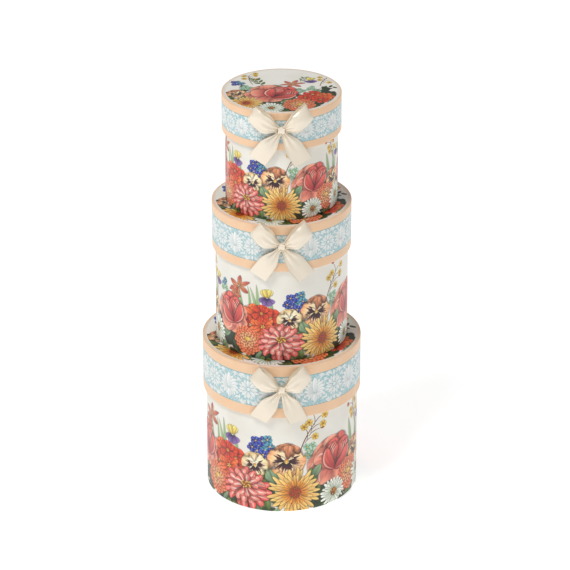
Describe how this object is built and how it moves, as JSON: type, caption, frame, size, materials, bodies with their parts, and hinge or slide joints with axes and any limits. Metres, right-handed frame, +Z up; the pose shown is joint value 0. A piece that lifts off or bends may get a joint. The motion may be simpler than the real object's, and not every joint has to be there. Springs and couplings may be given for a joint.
{
  "type": "nesting hat box set",
  "caption": "Stacked set of round paper-covered board hat boxes with lift-off lids, floral print, damask bands and satin ribbon bows",
  "frame": {"origin": "centre of the large box's underside", "axes": "+Z up through the stack; the bows face -Y; +X to the viewer's right"},
  "size_m": [0.1905, 0.2006, 0.5176],
  "materials": {
    "grey_board": "matte grey-brown pressed board",
    "floral_paper": "satin-coated white paper with a watercolour flower print",
    "top_print_paper": "satin-coated paper with a watercolour flower print",
    "damask_paper": "satin-coated peach paper with a pale blue damask band",
    "lining_paper": "uncoated ivory paper",
    "base_paper": "uncoated off-white paper",
    "satin_ribbon": "cream satin weave"
  },
  "bodies": {
    "large_box": {"large_body_tube": "grey_board", "large_base_board": "grey_board", "large_body_wrap": "floral_paper", "large_base_paper": "base_paper", "large_body_lining": "lining_paper", "large_floor_lining": "lining_paper"},
    "large_lid": {"large_lid_hoop": "grey_board", "large_lid_board": "grey_board", "large_lid_wrap": "damask_paper", "large_lid_top_print": "top_print_paper", "large_lid_lining": "lining_paper", "large_lid_ceiling": "lining_paper", "large_bow_loops": "satin_ribbon", "large_bow_knot": "satin_ribbon", "large_bow_tails": "satin_ribbon", "large_ribbon_tie": "satin_ribbon"},
    "medium_box": {"medium_body_tube": "grey_board", "medium_base_board": "grey_board", "medium_body_wrap": "floral_paper", "medium_base_paper": "base_paper", "medium_body_lining": "lining_paper", "medium_floor_lining": "lining_paper"},
    "medium_lid": {"medium_lid_hoop": "grey_board", "medium_lid_board": "grey_board", "medium_lid_wrap": "damask_paper", "medium_lid_top_print": "top_print_paper", "medium_lid_lining": "lining_paper", "medium_lid_ceiling": "lining_paper", "medium_bow_loops": "satin_ribbon", "medium_bow_knot": "satin_ribbon", "medium_bow_tails": "satin_ribbon", "medium_ribbon_tie": "satin_ribbon"},
    "small_box": {"small_body_tube": "grey_board", "small_base_board": "grey_board", "small_body_wrap": "floral_paper", "small_base_paper": "base_paper", "small_body_lining": "lining_paper", "small_floor_lining": "lining_paper"},
    "small_lid": {"small_lid_hoop": "grey_board", "small_lid_board": "grey_board", "small_lid_wrap": "damask_paper", "small_lid_top_print": "top_print_paper", "small_lid_lining": "lining_paper", "small_lid_ceiling": "lining_paper", "small_bow_loops": "satin_ribbon", "small_bow_knot": "satin_ribbon", "small_bow_tails": "satin_ribbon", "small_ribbon_tie": "satin_ribbon"}
  },
  "joints": [
    {"name": "large_lid_lift", "type": "slide", "parent": "large_box", "child": "large_lid", "axis": [0, 0, 1], "range_m": [0, 0.09]},
    {"name": "medium_box_lift", "type": "slide", "parent": "large_lid", "child": "medium_box", "axis": [0, 0, 1], "range_m": [0, 0.06]},
    {"name": "medium_lid_lift", "type": "slide", "parent": "medium_box", "child": "medium_lid", "axis": [0, 0, 1], "range_m": [0, 0.08]},
    {"name": "small_box_lift", "type": "slide", "parent": "medium_lid", "child": "small_box", "axis": [0, 0, 1], "range_m": [0, 0.06]},
    {"name": "small_lid_lift", "type": "slide", "parent": "small_box", "child": "small_lid", "axis": [0, 0, 1], "range_m": [0, 0.07]}
  ]
}
